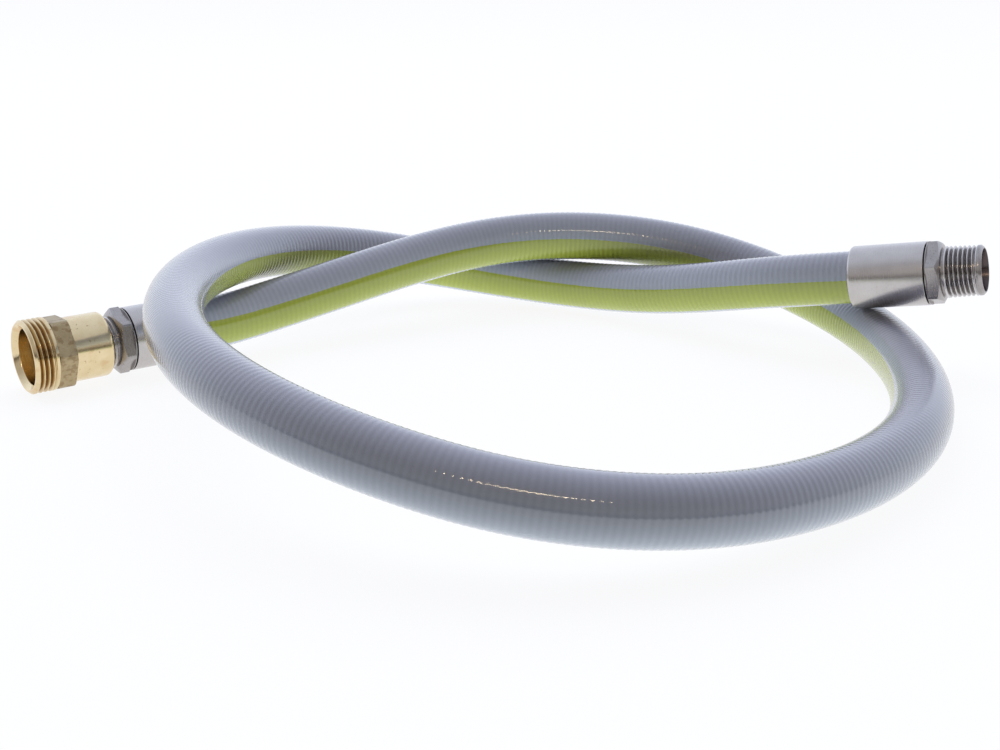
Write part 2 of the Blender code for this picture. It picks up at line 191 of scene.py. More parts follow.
# The hose's route between its two straight ends
ROUTE = [
    (-0.0538, 0.1006, 0.0183),
    (-0.0198, 0.0975, 0.0239),
    (0.0142, 0.0960, 0.0287),
    (0.0483, 0.0923, 0.0323),
    (0.0802, 0.0800, 0.0345),
    (0.1075, 0.0592, 0.0340),
    (0.1296, 0.0331, 0.0304),
    (0.1447, 0.0030, 0.0241),
    (0.1500, -0.0303, 0.0175),
    (0.1438, -0.0635, 0.0132),
    (0.1277, -0.0939, 0.0116),
    (0.1060, -0.1207, 0.0114),
    (0.0804, -0.1437, 0.0113),
    (0.0509, -0.1613, 0.0113),
    (0.0182, -0.1718, 0.0118),
    (-0.0160, -0.1757, 0.0136),
    (-0.0501, -0.1728, 0.0164),
    (-0.0821, -0.1612, 0.0203),
    (-0.1092, -0.1405, 0.0252),
    (-0.1291, -0.1132, 0.0308),
    (-0.1421, -0.0817, 0.0359),
    (-0.1472, -0.0479, 0.0394),
    (-0.1445, -0.0136, 0.0411),
    (-0.1354, 0.0195, 0.0415),
    (-0.1213, 0.0509, 0.0416),
    (-0.1016, 0.0791, 0.0415),
    (-0.0765, 0.1025, 0.0404),
    (-0.0470, 0.1200, 0.0373),
    (-0.0145, 0.1296, 0.0321),
    (0.0190, 0.1292, 0.0251),
    (0.0502, 0.1173, 0.0176),
    (0.0757, 0.0949, 0.0126),
    (0.0929, 0.0652, 0.0117),
    (0.1026, 0.0324, 0.0150),
    (0.1101, -0.0006, 0.0216),
    (0.1191, -0.0333, 0.0295),
]
ROUTE_SAMPLES = 4000


# Camera, light and floor


def direction_of(turn, rise):
    """Unit vector at this turn about Z and this rise above the horizontal."""
    flat = math.cos(rise)
    return Vector((flat * math.cos(turn), flat * math.sin(turn), math.sin(rise)))


def make_camera():
    data = bpy.data.cameras.new("camera")
    data.lens = CAMERA_LENS
    data.sensor_width = CAMERA_SENSOR
    data.clip_start = 0.01
    data.clip_end = 50.0
    camera = bpy.data.objects.new("camera", data)
    camera.location = CAMERA_PLACE
    camera.rotation_euler = (math.pi / 2 - CAMERA_PITCH, 0.0, CAMERA_TURN)
    bpy.context.scene.collection.objects.link(camera)
    bpy.context.scene.camera = camera


# A wide cool lamp above and behind, and a thin warm one behind the camera, whose reflection is
# the dotted line on the ribs. Each is (place, aim, size, power in watts, colour).
SKY_LAMP = ((0.3, 0.9, 1.4), (0.0, 0.0, 0.0), (1.6, 1.2), 10.5, (0.84, 0.92, 1.0))
STRIP_LAMP = ((-0.68, -0.99, 1.05), (0.0, -0.1, 0.0), (0.76, 0.02), 1.9, (1.0, 0.80, 0.52))


def add_lamp(name, lamp):
    """A rectangular soft lamp at its place, turned to its aim."""
    place, aim, size, power, colour = lamp
    data = bpy.data.lights.new(name, "AREA")
    data.shape = "RECTANGLE"
    data.size = size[0]
    data.size_y = size[1]
    data.energy = power
    data.color = colour
    made = bpy.data.objects.new(name, data)
    made.location = place
    made.rotation_mode = "QUATERNION"
    made.rotation_quaternion = (Vector(aim) - Vector(place)).to_track_quat("-Z", "Y")
    bpy.context.scene.collection.objects.link(made)
    return made


def node(tree, kind, **settings):
    """A new node of a tree, with its plain settings."""
    made = tree.nodes.new(kind)
    for key, value in settings.items():
        setattr(made, key, value)
    return made


def math_node(tree, operation, first, second=None, third=None, clamp=False):
    """A Math node fed by sockets or numbers, as its output socket."""
    made = node(tree, "ShaderNodeMath", operation=operation, use_clamp=clamp)
    for index, value in enumerate((first, second, third)):
        if value is None:
            continue
        if isinstance(value, bpy.types.NodeSocket):
            tree.links.new(value, made.inputs[index])
        else:
            made.inputs[index].default_value = value
    return made.outputs[0]


def ramp_node(tree, source, stops):
    """A colour ramp on a socket, from (place, colour) stops, as its colour socket."""
    made = node(tree, "ShaderNodeValToRGB")
    elements = made.color_ramp.elements
    elements[0].position = stops[0][0]
    elements[0].color = (*stops[0][1], 1.0)
    elements[1].position = stops[-1][0]
    elements[1].color = (*stops[-1][1], 1.0)
    for place, colour in stops[1:-1]:
        elements.new(place).color = (*colour, 1.0)
    tree.links.new(source, made.inputs[0])
    return made.outputs[0]


def mix_colour(tree, share, first, second):
    """A colour mix of two sockets or colours, as its output socket."""
    made = node(tree, "ShaderNodeMix", data_type="RGBA")
    for index, value in ((0, share), (6, first), (7, second)):
        if isinstance(value, bpy.types.NodeSocket):
            tree.links.new(value, made.inputs[index])
        elif index == 0:
            made.inputs[index].default_value = value
        else:
            made.inputs[index].default_value = (*value, 1.0)
    return made.outputs[2]


# A pale studio: bright and cool behind the hose, a dimmer room behind the camera with a dark
# line at table height. Each stop is (half the sine of the height plus a half, colour). Matt
# surfaces see the room much darker, which gives the hose its dark middle.
ROOM_STOPS = [
    (0.00, (0.85, 0.85, 0.85)),
    (0.495, (0.85, 0.85, 0.85)),
    (0.505, (0.06, 0.05, 0.04)),
    (0.545, (0.14, 0.12, 0.10)),
    (0.590, (0.43, 0.41, 0.40)),
    (0.650, (0.53, 0.51, 0.50)),
    (0.750, (0.50, 0.48, 0.49)),
    (0.880, (0.52, 0.53, 0.57)),
    (1.00, (0.72, 0.77, 0.88)),
]
BACKDROP_STOPS = [
    (0.00, (1.00, 1.00, 1.00)),
    (0.50, (1.00, 1.06, 1.16)),
    (0.70, (0.98, 1.06, 1.24)),
    (1.00, (0.72, 0.77, 0.88)),
]
ROOM_FOR_MATT = (0.02, 0.02, 0.02)
BACKDROP_FOR_MATT = (1.50, 1.64, 2.34)
BACKDROP_STRENGTH = 1.0
# Share of the room straight to the side, and how fast it grows towards the camera
ROOM_AT_SIDE = 0.45
ROOM_EDGE = 1.3


def towards_camera(tree, place):
    """How far a place or a direction lies towards the camera, level with the table."""
    made = node(tree, "ShaderNodeVectorMath", operation="DOT_PRODUCT")
    made.inputs[1].default_value = direction_of(CAMERA_TURN - math.pi / 2, 0.0)
    tree.links.new(place, made.inputs[0])
    return made.outputs["Value"]


def make_world():
    world = bpy.data.worlds.new("studio")
    world.use_nodes = True
    bpy.context.scene.world = world
    tree = world.node_tree
    tree.nodes.clear()
    way = node(tree, "ShaderNodeTexCoord").outputs["Generated"]
    split = node(tree, "ShaderNodeSeparateXYZ")
    tree.links.new(way, split.inputs[0])
    height = math_node(tree, "MULTIPLY_ADD", split.outputs["Z"], 0.5, 0.5)
    room = ramp_node(tree, height, ROOM_STOPS)
    backdrop = ramp_node(tree, height, BACKDROP_STOPS)
    towards = towards_camera(tree, way)
    roomward = math_node(tree, "MULTIPLY_ADD", towards, ROOM_EDGE, ROOM_AT_SIDE, clamp=True)
    light = node(tree, "ShaderNodeLightPath")
    matt_ray = light.outputs["Is Diffuse Ray"]
    room = mix_colour(tree, matt_ray, room, ROOM_FOR_MATT)
    backdrop = mix_colour(tree, matt_ray, backdrop, BACKDROP_FOR_MATT)
    colour = mix_colour(tree, roomward, backdrop, room)
    seen = math_node(
        tree, "MAXIMUM", light.outputs["Is Camera Ray"], light.outputs["Is Transmission Ray"]
    )
    shown = mix_colour(tree, seen, colour, (1.0, 1.0, 1.0))
    background = node(tree, "ShaderNodeBackground")
    background.inputs["Strength"].default_value = BACKDROP_STRENGTH
    tree.links.new(shown, background.inputs["Color"])
    output = node(tree, "ShaderNodeOutputWorld")
    tree.links.new(background.outputs[0], output.inputs["Surface"])


FLOOR_RADIUS = 6.0
FLOOR_GLOW = 0.90
# The table's glow, as glossy surfaces see it, ends this far in front of the middle, and as matt
# ones see it this far round the middle
GLOW_END_MATT = 0.29
GLOW_END_GLOSSY = 0.80
GLOW_FADE = 0.10
GLOW_FOR_MATT = (2.05, 2.45, 2.85)
# What is left of the glow past its end
GLOW_REST = 0.15
FLOOR_WHITE = (0.90, 0.90, 0.90, 1.0)


def make_floor():
    """A white light table: it glows softly, and keeps a faint shadow."""
    mesh = bpy.data.meshes.new("floor")
    shape = bmesh.new()
    bmesh.ops.create_circle(shape, cap_ends=True, segments=96, radius=FLOOR_RADIUS)
    shape.to_mesh(mesh)
    shape.free()
    floor = bpy.data.objects.new("floor", mesh)
    bpy.context.scene.collection.objects.link(floor)
    material = bpy.data.materials.new("light_table")
    material.use_nodes = True
    tree = material.node_tree
    tree.nodes.clear()
    matt = node(tree, "ShaderNodeBsdfDiffuse")
    matt.inputs["Color"].default_value = FLOOR_WHITE
    place = node(tree, "ShaderNodeTexCoord").outputs["Object"]
    light = node(tree, "ShaderNodeLightPath")
    matt_ray = light.outputs["Is Diffuse Ray"]
    radius = node(tree, "ShaderNodeVectorMath", operation="LENGTH")
    tree.links.new(place, radius.inputs[0])
    to_end_matt = math_node(tree, "SUBTRACT", GLOW_END_MATT, radius.outputs["Value"])
    to_end_glossy = math_node(tree, "SUBTRACT", GLOW_END_GLOSSY, towards_camera(tree, place))
    change = math_node(tree, "SUBTRACT", to_end_matt, to_end_glossy)
    to_end = math_node(tree, "MULTIPLY_ADD", change, matt_ray, to_end_glossy)
    lit = math_node(tree, "MULTIPLY", to_end, 1.0 / GLOW_FADE, clamp=True)
    seen = math_node(tree, "MAXIMUM", lit, light.outputs["Is Camera Ray"])
    glow = node(tree, "ShaderNodeEmission")
    colour = mix_colour(tree, matt_ray, (1.0, 1.0, 1.0), GLOW_FOR_MATT)
    strength = math_node(tree, "MULTIPLY_ADD", seen, 1.0 - GLOW_REST, GLOW_REST)
    tree.links.new(colour, glow.inputs["Color"])
    tree.links.new(strength, glow.inputs["Strength"])
    mixed = node(tree, "ShaderNodeMixShader")
    mixed.inputs[0].default_value = FLOOR_GLOW
    tree.links.new(matt.outputs[0], mixed.inputs[1])
    tree.links.new(glow.outputs[0], mixed.inputs[2])
    output = node(tree, "ShaderNodeOutputMaterial")
    tree.links.new(mixed.outputs[0], output.inputs["Surface"])
    mesh.materials.append(material)


def make_studio():
    scene = bpy.context.scene
    scene.view_settings.view_transform = "Standard"
    make_camera()
    make_world()
    make_floor()
    add_lamp("sky_lamp", SKY_LAMP).visible_glossy = False
    add_lamp("strip_lamp", STRIP_LAMP)


# Shader node groups: each puts out a colour or a value that changes over a surface


def new_group(name, inputs, outputs):
    """An empty node group with these sockets, as (group, its input node, its output node)."""
    group = bpy.data.node_groups.new(name, "ShaderNodeTree")
    for socket, kind, value in inputs:
        made = group.interface.new_socket(socket, in_out="INPUT", socket_type=kind)
        if value is not None:
            made.default_value = value
    for socket, kind in outputs:
        group.interface.new_socket(socket, in_out="OUTPUT", socket_type=kind)
    return group, node(group, "NodeGroupInput"), node(group, "NodeGroupOutput")


def make_turning_group():
    """Fine tool marks round a turned piece: they change along its axis and hardly round it."""
    group, given, result = new_group(
        "turning_marks",
        [
            ("Place", "NodeSocketVector", None),
            ("Lines per metre", "NodeSocketFloat", 3000.0),
            ("Round scale", "NodeSocketFloat", 60.0),
        ],
        [("Marks", "NodeSocketFloat")],
    )
    split = node(group, "ShaderNodeSeparateXYZ")
    group.links.new(given.outputs["Place"], split.inputs[0])
    x = math_node(group, "MULTIPLY", split.outputs["X"], given.outputs["Round scale"])
    y = math_node(group, "MULTIPLY", split.outputs["Y"], given.outputs["Round scale"])
    z = math_node(group, "MULTIPLY", split.outputs["Z"], given.outputs["Lines per metre"])
    joined = node(group, "ShaderNodeCombineXYZ")
    for index, value in enumerate((x, y, z)):
        group.links.new(value, joined.inputs[index])
    noise = node(group, "ShaderNodeTexNoise")
    noise.inputs["Scale"].default_value = 1.0
    noise.inputs["Detail"].default_value = 3.0
    noise.inputs["Roughness"].default_value = 0.6
    group.links.new(joined.outputs[0], noise.inputs["Vector"])
    group.links.new(noise.outputs[0], result.inputs["Marks"])
    return group


def make_speck_group():
    """Small pits or stains: a mask of 0 to 1, from the peaks of a noise over a threshold."""
    group, given, result = new_group(
        "specks",
        [
            ("Place", "NodeSocketVector", None),
            ("Scale", "NodeSocketFloat", 900.0),
            ("Threshold", "NodeSocketFloat", 0.68),
        ],
        [("Mask", "NodeSocketFloat")],
    )
    noise = node(group, "ShaderNodeTexNoise")
    noise.inputs["Detail"].default_value = 2.0
    group.links.new(given.outputs["Place"], noise.inputs["Vector"])
    group.links.new(given.outputs["Scale"], noise.inputs["Scale"])
    over = math_node(group, "SUBTRACT", noise.outputs[0], given.outputs["Threshold"])
    mask = math_node(group, "MULTIPLY", over, 12.0, clamp=True)
    group.links.new(mask, result.inputs["Mask"])
    return group


def radius_node(tree, place):
    """A place's distance from its own Z axis, as an output socket."""
    flat = node(tree, "ShaderNodeVectorMath", operation="MULTIPLY")
    flat.inputs[1].default_value = (1.0, 1.0, 0.0)
    tree.links.new(place, flat.inputs[0])
    length = node(tree, "ShaderNodeVectorMath", operation="LENGTH")
    tree.links.new(flat.outputs[0], length.inputs[0])
    return length.outputs["Value"]


def make_groove_group():
    """How deep a point lies in a thread: 0 on its crests, 1 in its roots, 0 off the thread."""
    group, given, result = new_group(
        "thread_grooves",
        [
            ("Place", "NodeSocketVector", None),
            ("Crest", "NodeSocketFloat", 0.015),
            ("Taper", "NodeSocketFloat", 0.0),
            ("Depth", "NodeSocketFloat", 0.0012),
            ("Low", "NodeSocketFloat", 0.0),
            ("High", "NodeSocketFloat", 1.0),
        ],
        [("Mask", "NodeSocketFloat")],
    )
    split = node(group, "ShaderNodeSeparateXYZ")
    group.links.new(given.outputs["Place"], split.inputs[0])
    height = split.outputs["Z"]
    radius = radius_node(group, given.outputs["Place"])
    fallen = math_node(group, "MULTIPLY", height, given.outputs["Taper"])
    crest = math_node(group, "SUBTRACT", given.outputs["Crest"], fallen)
    below = math_node(group, "SUBTRACT", crest, radius)
    share = math_node(group, "DIVIDE", below, given.outputs["Depth"])
    in_thread = math_node(group, "LESS_THAN", share, 1.1)
    share = math_node(group, "MULTIPLY", share, in_thread, clamp=True)
    over = math_node(group, "GREATER_THAN", height, given.outputs["Low"])
    under = math_node(group, "LESS_THAN", height, given.outputs["High"])
    mask = math_node(group, "MULTIPLY", math_node(group, "MULTIPLY", over, under), share)
    group.links.new(mask, result.inputs["Mask"])
    return group


TURNING_MARKS = make_turning_group()
SPECKS = make_speck_group()
GROOVES = make_groove_group()


def new_material(name):
    """A material with a Principled shader, as (material, tree, shader)."""
    material = bpy.data.materials.new(name)
    material.use_nodes = True
    tree = material.node_tree
    return material, tree, tree.nodes["Principled BSDF"]


def use_group(tree, group, place, **values):
    """A group in a material, fed by a place socket and its own values, as its output socket."""
    made = node(tree, "ShaderNodeGroup")
    made.node_tree = group
    tree.links.new(place, made.inputs["Place"])
    for key, value in values.items():
        made.inputs[key.replace("_", " ")].default_value = value
    return made.outputs[0]


def fitting_place(tree):
    """The place in a fitting's own frame: Z along its axis from the hexagon's back face."""
    made = node(tree, "ShaderNodeAttribute", attribute_name="fitting")
    return made.outputs["Vector"]


def bump(tree, shader, height, distance, strength=1.0):
    made = node(tree, "ShaderNodeBump")
    made.inputs["Distance"].default_value = distance
    made.inputs["Strength"].default_value = strength
    tree.links.new(height, made.inputs["Height"])
    tree.links.new(made.outputs[0], shader.inputs["Normal"])


def scaled_noise(tree, place, scale, detail=2.0):
    noise = node(tree, "ShaderNodeTexNoise")
    noise.inputs["Scale"].default_value = scale
    noise.inputs["Detail"].default_value = detail
    tree.links.new(place, noise.inputs["Vector"])
    return noise.outputs[0]


# Colours, as plain ones or as pairs (darker, lighter) that soft clouds mix
JACKET_GREY = ((0.264, 0.260, 0.271), (0.290, 0.286, 0.298))
STRIPE_GREEN = ((0.228, 0.236, 0.026), (0.262, 0.270, 0.031))
TUBE_STEEL = ((0.52, 0.50, 0.47), (0.62, 0.61, 0.60))
SEAL_BLACK = ((0.010, 0.010, 0.011), (0.03, 0.03, 0.03))
FERRULE_STEEL = ((0.49, 0.465, 0.46), (0.61, 0.585, 0.58))
FERRULE_SPECK = (0.20, 0.18, 0.17)
NIPPLE_STEEL = ((0.31, 0.29, 0.285), (0.45, 0.425, 0.42))
NIPPLE_SPECK = (0.16, 0.13, 0.11)
# Painted highlight on the nipple thread's crests, painted shade in its roots and inside its bore
STEEL_CREST_PAINTED_HIGHLIGHT = (0.66, 0.64, 0.64)
STEEL_ROOT_PAINTED_SHADE = (0.10, 0.085, 0.08)
STEEL_INSIDE_PAINTED_SHADE = (0.10, 0.08, 0.08)
TURNED_BRASS = ((0.68, 0.53, 0.29), (0.88, 0.75, 0.50))
CAST_BRASS = ((0.36, 0.28, 0.16), (0.52, 0.42, 0.26))
BRASS_STAIN = (0.66, 0.42, 0.20)
BRASS_MOTTLE = (0.25, 0.16, 0.08)
BRASS_SPECK = (0.24, 0.12, 0.03)
# Painted shade in the brass thread's roots
BRASS_ROOT_PAINTED_SHADE = (0.26, 0.13, 0.035)

# How much the painted shade darkens the jacket between its ribs, the width of its stripe's soft
# edge and how far that edge wanders, both as shares of a turn
RIB_SHADE = 0.08
STRIPE_BLUR = 1.0 / 450.0
STRIPE_WANDER = 0.006


def stained(tree, mask, strength, colour, stain):
    """A colour with a stain over it, as strong as a mask says."""
    return mix_colour(tree, math_node(tree, "MULTIPLY", mask, strength), colour, stain)


def make_jacket_material(pitch):
    """Grey plastic with a yellow-green stripe, and painted shade that darkens it a little between
    the ribs.

    U runs round the hose and V along it in metres. pitch is the distance from rib to rib.
    """
    material, tree, shader = new_material("jacket_plastic")
    uv = node(tree, "ShaderNodeUVMap", uv_map="round_and_along")
    split = node(tree, "ShaderNodeSeparateXYZ")
    tree.links.new(uv.outputs[0], split.inputs[0])
    around = split.outputs["X"]
    place = node(tree, "ShaderNodeTexCoord").outputs["Object"]

    wobble = math_node(tree, "SUBTRACT", scaled_noise(tree, place, 700.0), 0.5)
    offset = math_node(tree, "ABSOLUTE", math_node(tree, "SUBTRACT", around, 0.5))
    reach = math_node(tree, "MULTIPLY_ADD", wobble, STRIPE_WANDER, offset)
    inside = math_node(tree, "SUBTRACT", STRIPE_WIDTH_TURN / 360.0 / 2, reach)
    stripe = math_node(tree, "MULTIPLY", inside, 1.0 / STRIPE_BLUR, clamp=True)

    cloud = scaled_noise(tree, place, 45.0, 4.0)
    grey = mix_colour(tree, cloud, *JACKET_GREY)
    green = mix_colour(tree, cloud, *STRIPE_GREEN)
    base = mix_colour(tree, stripe, grey, green)
    # Painted shade: the colour darkens a little between the ribs, in step with their pitch
    turn = math_node(tree, "MULTIPLY", split.outputs["Y"], 2.0 * math.pi / pitch)
    crest = math_node(tree, "COSINE", turn)
    hollow = math_node(tree, "MULTIPLY_ADD", crest, -RIB_SHADE / 2, RIB_SHADE / 2)
    shaded = mix_colour(tree, hollow, base, (0.0, 0.0, 0.0))
    tree.links.new(shaded, shader.inputs["Base Color"])

    rough = math_node(tree, "MULTIPLY_ADD", scaled_noise(tree, place, 260.0, 3.0), 0.10, 0.20)
    tree.links.new(rough, shader.inputs["Roughness"])
    shader.inputs["Specular IOR Level"].default_value = 0.15
    shader.inputs["Coat Weight"].default_value = 1.0
    shader.inputs["Coat Roughness"].default_value = 0.06
    shader.inputs["Coat IOR"].default_value = 1.6
    bump(tree, shader, scaled_noise(tree, place, 2600.0), 0.00002, 0.6)
    return material


def make_tube_material():
    material, tree, shader = new_material("tube_steel")
    place = node(tree, "ShaderNodeTexCoord").outputs["Object"]
    tint = mix_colour(tree, scaled_noise(tree, place, 120.0), *TUBE_STEEL)
    tree.links.new(tint, shader.inputs["Base Color"])
    shader.inputs["Metallic"].default_value = 1.0
    shader.inputs["Roughness"].default_value = 0.28
    return material


def make_ferrule_material():
    """Satin drawn steel: fine marks round it, soft clouds and a few small specks."""
    material, tree, shader = new_material("ferrule_steel")
    place = fitting_place(tree)
    marks = use_group(tree, TURNING_MARKS, place, Lines_per_metre=9000.0, Round_scale=150.0)
    cloud = scaled_noise(tree, place, 160.0, 3.0)
    tint = mix_colour(tree, cloud, *FERRULE_STEEL)
    specks = use_group(tree, SPECKS, place, Scale=1500.0, Threshold=0.66)
    colour = stained(tree, specks, 0.35, tint, FERRULE_SPECK)
    tree.links.new(colour, shader.inputs["Base Color"])
    shader.inputs["Metallic"].default_value = 1.0
    rough = math_node(tree, "MULTIPLY_ADD", marks, 0.16, 0.17)
    tree.links.new(rough, shader.inputs["Roughness"])
    bump(tree, shader, marks, 0.000012, 0.7)
    return material


def make_nipple_material():
    """Turned steel, with a painted highlight on the thread's crests and painted shade in its
    roots and inside the bore.
    """
    material, tree, shader = new_material("nipple_steel")
    place = fitting_place(tree)
    marks = use_group(tree, TURNING_MARKS, place, Lines_per_metre=5200.0, Round_scale=90.0)
    cloud = scaled_noise(tree, place, 240.0, 3.0)
    tint = mix_colour(tree, cloud, *NIPPLE_STEEL)
    specks = use_group(tree, SPECKS, place, Scale=1100.0, Threshold=0.62)
    spotted = stained(tree, specks, 0.5, tint, NIPPLE_SPECK)
    grooves = use_group(
        tree,
        GROOVES,
        place,
        Crest=pipe_radius(0.0),
        Taper=PIPE_TAPER / 2,
        Depth=PIPE_THREAD_DEPTH,
        Low=NIPPLE_HEX_LENGTH + NIPPLE_RELIEF,
        High=NIPPLE_TIP - NIPPLE_LAND,
    )
    # Painted highlight on the thread's crests, painted shade down in its roots
    flank = math_node(tree, "MULTIPLY", grooves, 1.6, clamp=True)
    crest_painted_highlight = mix_colour(tree, flank, STEEL_CREST_PAINTED_HIGHLIGHT, spotted)
    root_painted_shade = math_node(tree, "POWER", grooves, 2.0)
    on_thread = math_node(tree, "GREATER_THAN", grooves, 0.0)
    thread_painted_shading = stained(tree, root_painted_shade, 0.55, crest_painted_highlight, STEEL_ROOT_PAINTED_SHADE)
    outside = mix_colour(tree, on_thread, spotted, thread_painted_shading)
    # Painted shade inside the bore
    inside = math_node(tree, "LESS_THAN", radius_node(tree, place), NIPPLE_MOUTH + 3 * HAIR)
    colour = mix_colour(tree, inside, outside, STEEL_INSIDE_PAINTED_SHADE)
    tree.links.new(colour, shader.inputs["Base Color"])
    shader.inputs["Metallic"].default_value = 1.0
    rough = math_node(tree, "MULTIPLY_ADD", marks, 0.22, 0.14)
    tree.links.new(rough, shader.inputs["Roughness"])
    bump(tree, shader, marks, 0.00002, 0.8)
    return material


def make_seal_material():
    material, tree, shader = new_material("seal_rubber")
    place = fitting_place(tree)
    tint = mix_colour(tree, scaled_noise(tree, place, 900.0), *SEAL_BLACK)
    tree.links.new(tint, shader.inputs["Base Color"])
    shader.inputs["Roughness"].default_value = 0.65
    return material


def make_brass_material():
    """Turned brass on the body and thread, with painted shade in the thread's roots, rough
    stamped skin on the hexagon.
    """
    material, tree, shader = new_material("adapter_brass")
    place = fitting_place(tree)
    split = node(tree, "ShaderNodeSeparateXYZ")
    tree.links.new(place, split.inputs[0])
    height = split.outputs["Z"]
    above = math_node(tree, "SUBTRACT", height, ADAPTER_FLANGE_START)
    below = math_node(tree, "SUBTRACT", ADAPTER_FLANGE_END, height)
    within = math_node(tree, "MINIMUM", above, below)
    rough_zone = math_node(tree, "MULTIPLY_ADD", within, 4000.0, 0.5, clamp=True)

    marks = use_group(tree, TURNING_MARKS, place, Lines_per_metre=5200.0, Round_scale=90.0)
    cloud = scaled_noise(tree, place, 180.0, 3.0)
    stains = use_group(tree, SPECKS, place, Scale=130.0, Threshold=0.56)
    mottle = use_group(tree, SPECKS, place, Scale=420.0, Threshold=0.50)
    specks = use_group(tree, SPECKS, place, Scale=800.0, Threshold=0.67)
    turned = stained(tree, stains, 0.45, mix_colour(tree, cloud, *TURNED_BRASS), BRASS_STAIN)
    cast = stained(tree, mottle, 0.55, mix_colour(tree, cloud, *CAST_BRASS), BRASS_MOTTLE)
    colour = mix_colour(tree, rough_zone, turned, cast)
    spotted = stained(tree, specks, 0.6, colour, BRASS_SPECK)
    # Painted shade down in the thread's roots
    grooves = use_group(
        tree,
        GROOVES,
        place,
        Crest=ADAPTER_THREAD_RADIUS,
        Depth=ADAPTER_THREAD_DEPTH,
        Low=ADAPTER_FLANGE_END + EDGE,
        High=ADAPTER_FRONT - ADAPTER_SEAT_DEPTH,
    )
    thread_painted_shading = mix_colour(tree, grooves, spotted, BRASS_ROOT_PAINTED_SHADE)
    tree.links.new(thread_painted_shading, shader.inputs["Base Color"])
    shader.inputs["Metallic"].default_value = 1.0
    plain = math_node(tree, "MULTIPLY_ADD", marks, 0.12, 0.10)
    rough = math_node(tree, "MULTIPLY_ADD", rough_zone, 0.22, plain)
    tree.links.new(rough, shader.inputs["Roughness"])

    grain = scaled_noise(tree, place, 1100.0, 4.0)
    coarse = math_node(tree, "MULTIPLY", grain, rough_zone)
    height_map = math_node(tree, "MULTIPLY_ADD", marks, 0.07, coarse)
    bump(tree, shader, height_map, 0.00020, 0.9)
    return material


# The hose


def smooth_curve(points, start_slope, end_slope, count):
    """Evenly counted points on the smooth cubic spline through these points.

    The spline's bend changes without a jump, and it leaves and ends along the given unit
    vectors. Each stretch is measured by its chord.
    """
    points = np.array(points)
    chords = np.linalg.norm(np.diff(points, axis=0), axis=1)
    reach = np.concatenate([[0.0], np.cumsum(chords)])
    last = len(points) - 1
    matrix = np.zeros((last + 1, last + 1))
    wanted = np.zeros((last + 1, 3))
    matrix[0, 0] = 1.0
    matrix[last, last] = 1.0
    wanted[0] = start_slope
    wanted[last] = end_slope
    for index in range(1, last):
        before = chords[index - 1]
        after = chords[index]
        matrix[index, index - 1] = 1.0 / before
        matrix[index, index] = 2.0 / before + 2.0 / after
        matrix[index, index + 1] = 1.0 / after
        step_in = (points[index] - points[index - 1]) / before**2
        step_out = (points[index + 1] - points[index]) / after**2
        wanted[index] = 3.0 * (step_in + step_out)
    slopes = np.linalg.solve(matrix, wanted)
    places = np.linspace(0.0, reach[last], count)
    stretch = np.clip(np.searchsorted(reach, places, side="right") - 1, 0, last - 1)
    chord = chords[stretch][:, None]
    part = (places - reach[stretch])[:, None] / chord
    rest = 1.0 - part
    return (
        (1.0 + 2.0 * part) * rest**2 * points[stretch]
        + part**2 * (3.0 - 2.0 * part) * points[stretch + 1]
        + part * rest**2 * chord * slopes[stretch]
        - part**2 * rest * chord * slopes[stretch + 1]
    )


def hose_line():
    """The hose's fine centre line from shank to shank, as an array of points."""
    left = np.array(direction_of(LEFT_TURN, LEFT_RISE))
    right = np.array(direction_of(RIGHT_TURN, RIGHT_RISE))
    left_seat = np.array(LEFT_SEAT)
    right_seat = np.array(RIGHT_SEAT)
    through = [left_seat + left * STRAIGHT_END, *ROUTE, right_seat + right * STRAIGHT_END]
    free = smooth_curve(through, -left, right, ROUTE_SAMPLES)
    butt = -(SHANK_LENGTH + GAP)
    return np.vstack([left_seat + left * butt, free, right_seat + right * butt])


class HoseFrames:
    """Ring centres, directions and bend along the hose at an even step."""

    def __init__(self, line, count):
        steps = np.linalg.norm(np.diff(line, axis=0), axis=1)
        reach = np.concatenate([[0.0], np.cumsum(steps)])
        self.length = reach[-1]
        self.along = np.linspace(0.0, self.length, count)
        self.centres = np.stack([np.interp(self.along, reach, row) for row in line.T], 1)
        tangents = np.gradient(self.centres, self.along, axis=0)
        self.tangents = tangents / np.linalg.norm(tangents, axis=1)[:, None]
        self.bends = np.gradient(self.tangents, self.along, axis=0)
        up = np.array([0.0, 0.0, 1.0])
        ups = []
        for tangent in self.tangents:
            up = up - up.dot(tangent) * tangent
            up = up / np.linalg.norm(up)
            ups.append(up)
        self.ups = np.array(ups)
        self.sides = np.cross(self.tangents, self.ups)

    def at(self, rings, angles):
        """Unit vectors across the hose at these ring numbers and angles."""
        along_ups = self.ups[rings] * np.cos(angles)[:, None]
        return along_ups + self.sides[rings] * np.sin(angles)[:, None]


def stripe_middle(along):
    """Turn of the stripe's middle about the hose, in radians."""
    places = np.array([place for place, _ in STRIPE_UPPER_EDGE])
    edges = np.array([edge for _, edge in STRIPE_UPPER_EDGE])
    fine = np.linspace(places[0], places[-1], 400)
    rough = np.interp(fine, places, edges)
    window = np.hanning(41)
    padded = np.pad(rough, 20, mode="edge")
    smooth = np.convolve(padded, window / window.sum(), mode="valid")
    return np.radians(np.interp(along, fine, smooth) + STRIPE_WIDTH_TURN / 2)


